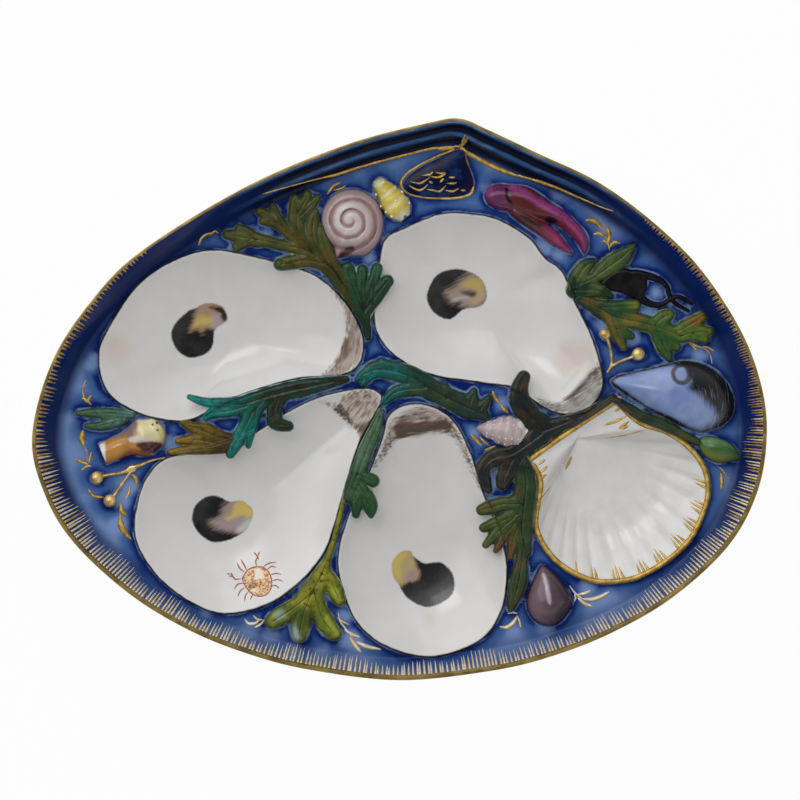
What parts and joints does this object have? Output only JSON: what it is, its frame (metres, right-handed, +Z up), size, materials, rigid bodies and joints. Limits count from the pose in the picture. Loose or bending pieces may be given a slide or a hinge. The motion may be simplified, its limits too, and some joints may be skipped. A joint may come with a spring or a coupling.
{
  "type": "oyster plate",
  "caption": "Clam-shell shaped porcelain oyster plate: white oyster wells and a fluted scallop sauce well in a cobalt field with shells and weed in relief and a gilt edge.",
  "frame": {"origin": "middle of the plate's bounding box, on the plane that its foot ring stands on", "axes": "+X to the plate's right across its two tips, +Y to the hinge beak, +Z up"},
  "size_m": [0.216, 0.165, 0.0222],
  "materials": {
    "cobalt_glaze": "gloss",
    "bare_foot": "matte",
    "gilding": "polished",
    "white_glaze": "gloss",
    "mauve_glaze": "gloss",
    "yellow_glaze": "gloss",
    "crimson_glaze": "gloss",
    "periwinkle_glaze": "gloss",
    "black_glaze": "gloss",
    "purple_glaze": "gloss",
    "pink_glaze": "gloss",
    "orange_glaze": "gloss",
    "navy_glaze": "gloss",
    "leaf_glaze": "gloss",
    "olive_glaze": "gloss",
    "dark_green_glaze": "gloss",
    "teal_glaze": "gloss",
    "ochre_glaze": "gloss",
    "yellow_green_glaze": "gloss",
    "gilt_glaze": "polished"
  },
  "bodies": {
    "root": {"plate_body": "cobalt_glaze", "foot_ring": "bare_foot", "gilt_rim": "gilding", "oyster_well_upper_left": "white_glaze", "oyster_well_upper_right": "white_glaze", "oyster_well_front": "white_glaze", "oyster_well_lower_left": "white_glaze", "scallop_well": "white_glaze", "moon_snail": "mauve_glaze", "yellow_whelk": "yellow_glaze", "crab_claw": "crimson_glaze", "mussel_shell": "periwinkle_glaze", "egg_case": "black_glaze", "purple_shell": "purple_glaze", "pink_cone_shell": "pink_glaze", "orange_whelk": "orange_glaze", "little_clam": "navy_glaze", "pod_leaf": "leaf_glaze", "olive_weed": "olive_glaze", "green_fan_weed": "dark_green_glaze", "teal_centre_weed": "teal_glaze", "teal_left_weed": "teal_glaze", "ochre_leaf": "ochre_glaze", "green_stem_weed": "dark_green_glaze", "front_weed": "yellow_green_glaze", "scallop_weed": "dark_green_glaze", "left_weed": "leaf_glaze", "right_leaves": "leaf_glaze", "right_spray": "leaf_glaze", "gilt_berries_right": "gilt_glaze", "gilt_berries_left": "gilt_glaze"}
  },
  "joints": []
}
